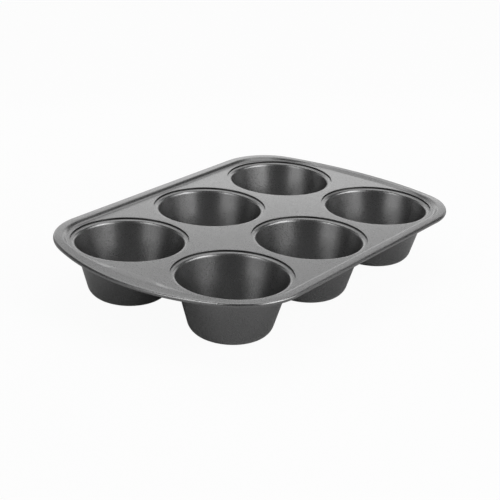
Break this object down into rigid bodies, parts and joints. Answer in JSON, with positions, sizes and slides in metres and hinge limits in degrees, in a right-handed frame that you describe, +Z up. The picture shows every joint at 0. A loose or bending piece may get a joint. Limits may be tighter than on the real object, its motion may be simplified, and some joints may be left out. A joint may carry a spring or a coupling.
{
  "type": "jumbo muffin pan",
  "caption": "Jumbo muffin pan: deep tapered cups seamed into a pressed steel plate with a raised, wire-rolled rim and bowed, sloping end grips, in dark grey non-stick coating.",
  "frame": {"origin": "on the ground under the middle of the pan", "axes": "+X along the pan's length, away from the end with the pad on its rim; +Y across it; +Z up, out of the cups"},
  "size_m": [0.348, 0.2292, 0.0508],
  "materials": {
    "plate_coating": "satin dark grey non-stick coating on steel sheet",
    "cup_coating": "satin dark grey non-stick coating on steel sheet",
    "wire_steel": "drawn steel wire"
  },
  "bodies": {
    "root": {"deck_plate": "plate_coating", "rim_wire": "wire_steel", "cup_front_right": "cup_coating", "cup_front_left": "cup_coating", "cup_middle_right": "cup_coating", "cup_middle_left": "cup_coating", "cup_back_right": "cup_coating", "cup_back_left": "cup_coating"}
  },
  "joints": []
}
